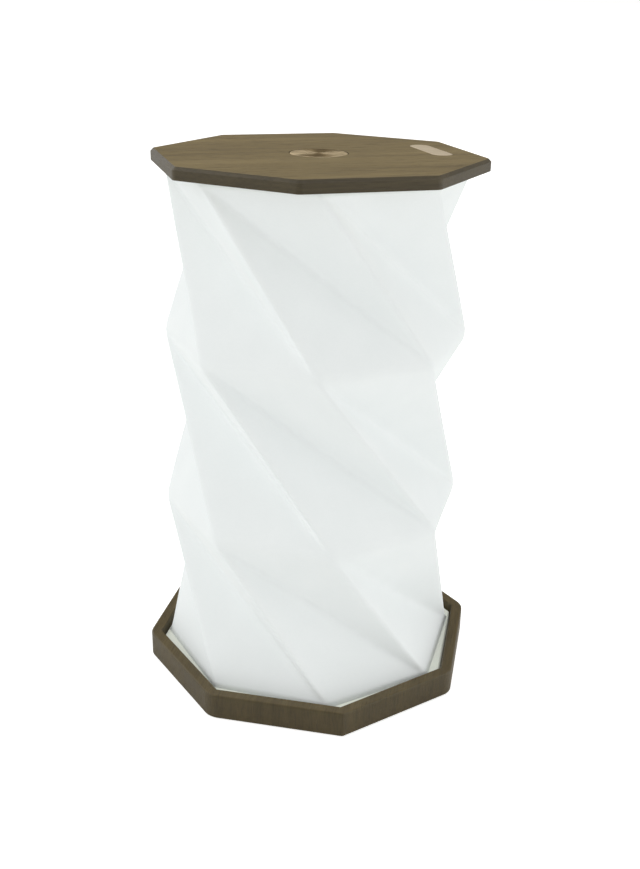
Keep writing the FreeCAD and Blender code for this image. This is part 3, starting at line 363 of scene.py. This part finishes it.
# The white plates are coloured darker and more olive than white plastic: painted shade and a painted
# reflection of the walnut tray.
white_moulding = moulded("white_moulding", (0.62, 0.64, 0.57), 0.6, **LIT_FROM_INSIDE)
opal_moulding = moulded("opal_moulding", (0.84, 0.83, 0.78), 0.45, 1800.0, Subsurface_Weight=0.2)
dark_moulding = moulded("dark_moulding", (0.050, 0.044, 0.038), 0.52, 3200.0)
silicone = moulded("silicone", (0.11, 0.10, 0.09), 0.72, 1500.0, 0.03 * MM)
foam = moulded("foam", (0.07, 0.07, 0.07), 0.9, 900.0, 0.20 * MM, 0.3)
chip_black = moulded("moulded_chip", (0.026, 0.026, 0.028), 0.5, 4000.0)
phosphor = moulded("lamp_phosphor", (0.86, 0.70, 0.22), 0.35, 2400.0)
wire_cover = moulded("wire_cover", (0.42, 0.045, 0.035), 0.38, 1200.0)
film = moulded("lead_film", (0.80, 0.79, 0.75), 0.32, 1400.0)
clear_rod = moulded(
    "clear_rod", (0.86, 0.90, 0.90), 0.12, 600.0, 0.01 * MM, 0.02, Transmission_Weight=0.85, IOR=1.49
)
print("with the plastics,", len(bpy.data.materials), "materials")

# %% [markdown]
# ## Circuit boards
# A board is glass fibre under a coat of solder mask, with copper tracks that show as slightly raised,
# lighter lines. Real tracks run in straight stretches with a common pitch, which a brick pattern
# imitates well enough for a board that sits inside the tray.

# %% Solder mask
TRACK_DEPTH = 0.04 * MM


def solder_mask(name, mask, track, pitch):
    """A board's coat, with tracks at a pitch in metres."""
    board = Finish(name, Roughness=0.28, Coat_Weight=0.4)
    where = board.place((1 / pitch, 1 / pitch, 1 / pitch), 45.0)
    settings = {"offset": 0.5, "squash": 2.0, "squash_frequency": 3}
    inputs = {"Vector": where, "Scale": 1.0, "Mortar Size": 0.10, "Mortar Smooth": 0.1, "Bias": 0.0}
    tracks = board.node("ShaderNodeTexBrick", settings, inputs, output="Fac")
    weave = board.cloud(board.place(), 1400.0, 2.0)
    board.set(Base_Color=board.blend(tracks, mask, track))
    board.set(Roughness=0.24 + 0.10 * weave)
    board.relief(tracks + 0.15 * weave, TRACK_DEPTH, 0.6)
    return board.material


green_board = solder_mask("green_solder_mask", (0.012, 0.115, 0.045), (0.03, 0.21, 0.09), 2.4 * MM)
white_board = solder_mask("white_solder_mask", (0.80, 0.80, 0.78), (0.70, 0.69, 0.64), 3.1 * MM)
print("with the boards,", len(bpy.data.materials), "materials")

# %% [markdown]
# ## Dressing the hard pieces
# The engineering model's pieces keep their shape and place, and only their material slot is filled.

# %% Finish of each hard piece
FINISHES = {
    "tray": tray_wood,
    "lid_board": lid_wood,
    "touch_disc": disc_brass,
    "inlay_plate": rose_metal,
    "shade_deck": white_moulding,
    "head_plate": white_moulding,
    "lead_socket": white_moulding,
    "light_diffuser": opal_moulding,
    "base_cover": dark_moulding,
    "socket_bezel": dark_moulding,
    "foot_pads": silicone,
    "battery_foam": foam,
    "battery_cell": cell_foil,
    "board_components": chip_black,
    "socket_tongue": chip_black,
    "led_chips": phosphor,
    "battery_wires": wire_cover,
    "lamp_wires": wire_cover,
    "charge_light": clear_rod,
    "control_board": green_board,
    "led_board": white_board,
    "cover_screws": zinc,
    "board_screws": zinc,
    "deck_magnets": nickel,
    "lid_magnets": nickel,
    "socket_shell": drawn_steel,
    "touch_contact": copper,
}
for name, material in FINISHES.items():
    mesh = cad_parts[name].data
    mesh.materials.clear()
    mesh.materials.append(material)
print("finished", len(FINISHES), "pieces of the engineering model")

# %% [markdown]
# ## Paper
# The sleeve is a stiff coated paper, soft white and nearly matt. Held against a lamp it glows a little
# all over, which fills its shadows, so the shader gives off a little light of its own. Fibres show as a
# faint mottle and as a very shallow relief.

# %% Shade paper
PAPER_DARK = (0.735, 0.765, 0.765)
PAPER_LIGHT = (0.775, 0.800, 0.800)
PAPER_GLOW = {"Emission_Color": (0.95, 1.0, 0.99), "Emission_Strength": 0.12}
FIBRE_DEPTH = 0.06 * MM


def shade_paper():
    paper = Finish("shade_paper", **PAPER_GLOW)
    fibres = paper.cloud(paper.place((1, 1, 2.2)), 900.0, 4.0, 0.7, 0.4)
    mottle = paper.cloud(paper.place(), 60.0, 3.0)
    both = fibres * 0.5 + mottle * 0.5
    paper.set(Base_Color=paper.colours(both, (0.3, PAPER_DARK), (0.7, PAPER_LIGHT)))
    paper.set(Roughness=0.62 + 0.2 * fibres)
    paper.relief(both, FIBRE_DEPTH, 0.35)
    return paper.material


paper = shade_paper()
print("paper:", paper.name)

# %% [markdown]
# ## The sleeve's folds
# The sleeve is one sheet with four level octagons of folds, each turned against the one above. Between
# two octagons every side makes two triangles: a steep ridge runs from a corner to the one it came from,
# and a long valley crosses to the next corner. That is a circle of eight points, extruded downwards and
# turned three times, with each four-cornered face split along its longer diagonal.

# %% Fold rings
SIDES = 8
RING_RADII = [56.6 * MM, 58.6 * MM, 59.7 * MM, 59.9 * MM]
TWISTS = [45.0, 51.5, 44.2]
TIERS = [62.3 * MM, 66.8 * MM, 64.0 * MM]
TOP_TURN = 12.5
FLAP = 7.0 * MM
PAPER_THICK = 0.45 * MM

sleeve_low, sleeve_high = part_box("paper_shade")


def along_axis(verts, turn=0.0, grow=1.0, rise=0.0):
    """Turns, widens and lifts corners of a ring about the lamp's axis."""
    bmesh.ops.rotate(sleeve, verts=verts, cent=(0, 0, 0), matrix=turned(turn, "Z").to_3x3())
    bmesh.ops.scale(sleeve, verts=verts, vec=(grow, grow, 1))
    bmesh.ops.translate(sleeve, verts=verts, vec=(0, 0, rise))


def extruded(edges):
    """Draws a ring of edges out into new faces. Returns the new edges and their corners."""
    new = bmesh.ops.extrude_edge_only(sleeve, edges=edges)["geom"]
    corners = [part for part in new if isinstance(part, bmesh.types.BMVert)]
    rim = [part for part in new if isinstance(part, bmesh.types.BMEdge)]
    return rim, corners


sleeve = bmesh.new()
bmesh.ops.create_circle(sleeve, cap_ends=False, segments=SIDES, radius=RING_RADII[0])
first = list(sleeve.verts)
ring = list(sleeve.edges)
along_axis(first, turn=TOP_TURN, rise=sleeve_high.z)
for radius, wider, twist, tier in zip(RING_RADII, RING_RADII[1:], TWISTS, TIERS):
    ring, corners = extruded(ring)
    along_axis(corners, turn=twist, grow=wider / radius, rise=-tier)
for face in list(sleeve.faces):
    a, b, c, d = face.verts
    far = (a, c) if (a.co - c.co).length > (b.co - d.co).length else (b, d)
    bmesh.ops.connect_vert_pair(sleeve, verts=far)
print("the sleeve has", len(sleeve.faces), "triangles")

# %% [markdown]
# ## Creases that are not razor sharp
# Card bends round a small radius at a crease, and a facet is never dead flat. Cutting each triangle into
# small ones and smoothing them a few times rounds every crease alike, and a slow noise moves the facets
# by a few tenths of a millimetre. The two end rings stay where they are glued.

# %% Rounded creases and flaps
CUTS = 29
SMOOTHINGS = 3
WAVER = 0.35 * MM
WAVER_PER_METRE = 28.0
EVERY_WAY = {"use_axis_x": True, "use_axis_y": True, "use_axis_z": True}

bmesh.ops.subdivide_edges(sleeve, edges=list(sleeve.edges), cuts=CUTS, use_grid_fill=True)
inner = [vert for vert in sleeve.verts if not vert.is_boundary]
for _ in range(SMOOTHINGS):
    bmesh.ops.smooth_vert(sleeve, verts=inner, factor=0.5, **EVERY_WAY)
for vert in inner:
    outward = Vector((vert.co.x, vert.co.y, 0)).normalized()
    vert.co += outward * (WAVER * noise.noise(vert.co * WAVER_PER_METRE))
for level, radius in ((sleeve_high.z, RING_RADII[0]), (sleeve_low.z, RING_RADII[-1])):
    rim = [edge for edge in sleeve.edges if edge.is_boundary and abs(edge.verts[0].co.z - level) < MM]
    _, corners = extruded(rim)
    along_axis(corners, grow=(radius - FLAP) / radius)
bmesh.ops.recalc_face_normals(sleeve, faces=list(sleeve.faces))
outside = max(sleeve.faces, key=lambda face: face.calc_center_median().xy.length)
if outside.normal.dot(outside.calc_center_median() * Vector((1, 1, 0))) < 0:
    bmesh.ops.reverse_faces(sleeve, faces=list(sleeve.faces))
bmesh.ops.solidify(sleeve, geom=list(sleeve.faces), thickness=PAPER_THICK)
bmesh.ops.recalc_face_normals(sleeve, faces=list(sleeve.faces))
print("creased and thickened, it has", len(sleeve.faces), "faces")

# %% [markdown]
# ## From mesh to piece
# A finished mesh rides on one body of the engineering model, so that it moves with it, and takes the
# place of the model's own plain piece.


# %% The sleeve as a piece
def piece(name, shape, material, body, node):
    """Turns a finished bmesh into a piece that rides on a body and stands for a node."""
    mesh = bpy.data.meshes.new(name)
    shape.to_mesh(mesh)
    shape.free()
    mesh.materials.append(material)
    made = bpy.data.objects.new(name, mesh)
    bpy.context.scene.collection.objects.link(made)
    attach(made, body)
    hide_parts(node)
    print(name, "has", len(mesh.polygons), "faces")
    return made


for face in sleeve.faces:
    face.smooth = True
creased_sleeve = piece("creased_sleeve", sleeve, paper, "shade", "paper_shade")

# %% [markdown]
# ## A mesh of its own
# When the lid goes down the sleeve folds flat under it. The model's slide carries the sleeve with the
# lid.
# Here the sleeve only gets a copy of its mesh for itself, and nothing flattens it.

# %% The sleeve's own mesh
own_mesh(creased_sleeve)

# %% [markdown]
# ## The flat lead
# A thin strip of film carries the disc's signal down to the base. It is folded to and fro, so that it
# can open and close with the sleeve. A line of points is extruded sideways into a strip and given its
# thickness.

# %% Flat lead
LEAD_WIDE = 6.0 * MM
LEAD_THICK = 0.25 * MM
LEAD_SWING = 0.90 * MM
LEAD_FOLDS = 16
LEAD_STRAIGHT = 1.5 * MM

lead_low, lead_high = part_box("touch_lead")
strip = bmesh.new()
pitch = (lead_high.z - lead_low.z - 2 * LEAD_STRAIGHT) / LEAD_FOLDS
heights = [0.0, LEAD_STRAIGHT]
heights += [LEAD_STRAIGHT + pitch * (fold + 0.5) for fold in range(LEAD_FOLDS)]
heights += [lead_high.z - lead_low.z - LEAD_STRAIGHT, lead_high.z - lead_low.z]
swings = [0.0, 0.0] + [LEAD_SWING * (-1) ** fold for fold in range(LEAD_FOLDS)] + [0.0, 0.0]
points = [strip.verts.new((-LEAD_WIDE / 2, y, lead_low.z + z)) for y, z in zip(swings, heights)]
line = [strip.edges.new(pair) for pair in zip(points, points[1:])]
drawn = bmesh.ops.extrude_edge_only(strip, edges=line)["geom"]
moved = [part for part in drawn if isinstance(part, bmesh.types.BMVert)]
bmesh.ops.translate(strip, verts=moved, vec=(LEAD_WIDE, 0, 0))
bmesh.ops.solidify(strip, geom=list(strip.faces), thickness=LEAD_THICK)
depths = [vert.co.y for vert in strip.verts]
bmesh.ops.translate(strip, verts=list(strip.verts), vec=(0, -(min(depths) + max(depths)) / 2, 0))
bmesh.ops.recalc_face_normals(strip, faces=list(strip.faces))
folded_lead = piece("folded_lead", strip, film, "shade", "touch_lead")
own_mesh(folded_lead)

# %% [markdown]
# ## Floor
# The lamp stands on a large white floor. It gives off a little light, so that what faces down isn't
# dark, and more of it to the camera alone, which then sees plain white with the lamp's shadow still on
# it.

# %% White floor
FLOOR_HALF = 60.0
FLOOR_COLOUR = (0.86, 0.86, 0.85)
FLOOR_TINT = (1.0, 1.0, 0.985)
FLOOR_LIGHT = 0.15
FLOOR_LIGHT_SEEN = 0.52

bench = bmesh.new()
bmesh.ops.create_grid(bench, x_segments=2, y_segments=2, size=FLOOR_HALF)
floor_mesh = bpy.data.meshes.new("floor")
bench.to_mesh(floor_mesh)
bench.free()
floor = bpy.data.objects.new("floor", floor_mesh)
bpy.context.scene.collection.objects.link(floor)

white_floor = Finish("white_floor", Base_Color=FLOOR_COLOUR, Roughness=0.8, Specular_IOR_Level=0.2)
white_floor.set(Emission_Color=FLOOR_TINT, Emission_Strength=FLOOR_LIGHT)
glow = white_floor.node("ShaderNodeEmission", None, {"Color": FLOOR_TINT, "Strength": FLOOR_LIGHT_SEEN})
brighter = white_floor.node("ShaderNodeAddShader", None, {0: white_floor.shaded, 1: glow})
for_camera = white_floor.node("ShaderNodeLightPath", output="Is Camera Ray")
ways = {0: for_camera, 1: white_floor.shaded, 2: brighter}
white_floor.show(white_floor.node("ShaderNodeMixShader", None, ways))
floor_mesh.materials.append(white_floor.material)
print("floor", 2 * FLOOR_HALF, "m wide")

# %% [markdown]
# ## Room
# A white room stands round the lamp. The camera sees it plain white, while most of what lights the lamp
# is a gentler light from all around. Reflections see bright walls at the left and right and dim ones in
# front and behind. That is what draws the two bright wedges on the turned disc and the pale edges at the
# lid's ends.

# %% White room
ROOM_TINT = (1.0, 1.0, 0.99)
ROOM_LIGHT = 0.605
ROOM_SEEN = 1.0
SIDE_WALLS = 2.3
END_WALLS = 0.20
SIDE_WALLS_SPAN = (0.45, 0.85)

room = bpy.data.worlds.new("white_room")
room.use_nodes = True
bpy.context.scene.world = room
walls = Net(room.node_tree)
way = walls.node("ShaderNodeTexCoord", output="Generated")
sideways = walls.node("ShaderNodeSeparateXYZ", None, {0: way}, "X")
mirrored = abs(sideways).above(*SIDE_WALLS_SPAN, END_WALLS, SIDE_WALLS)
for_glossy = walls.node("ShaderNodeLightPath", output="Is Glossy Ray")
for_camera = walls.node("ShaderNodeLightPath", output="Is Camera Ray")
level = walls.node("ShaderNodeMix", None, {0: for_glossy, 2: ROOM_LIGHT, 3: mirrored})
level = walls.node("ShaderNodeMix", None, {0: for_camera, 2: level, 3: ROOM_SEEN})
background = room.node_tree.nodes["Background"]
walls.plug(background.inputs["Strength"], level)
walls.plug(background.inputs["Color"], ROOM_TINT)
print("room light", ROOM_LIGHT, "and reflected walls", END_WALLS, "to", SIDE_WALLS)

# %% [markdown]
# ## Lamps
# Three large soft lights give the folds their shades: one from the left and above, one that stands low
# at the right, and one high up behind. Large lights have soft shadows, as a light tent gives.

# %% Softboxes
MIDDLE = Vector((0, 0, 0.1))


def softbox(name, azimuth, elevation, distance, side, watts):
    """A square light that looks at the lamp's middle. Azimuth is counted from the front to the right."""
    light = bpy.data.lights.new(name, "AREA")
    light.size = side
    light.energy = watts
    made = bpy.data.objects.new(name, light)
    away = turned(azimuth, "Z") @ turned(-elevation, "X") @ Vector((0, -distance, 0))
    made.location = MIDDLE + away
    made.rotation_euler = away.to_track_quat("Z", "Y").to_euler()
    bpy.context.scene.collection.objects.link(made)


softbox("key_left", azimuth=-60, elevation=44, distance=1.6, side=1.1, watts=7.0)
softbox("fill_right", azimuth=84, elevation=8, distance=1.8, side=1.2, watts=6.5)
softbox("top_back", azimuth=170, elevation=75, distance=1.6, side=1.2, watts=7.5)
print("lamps:", [light.name for light in bpy.data.lights])
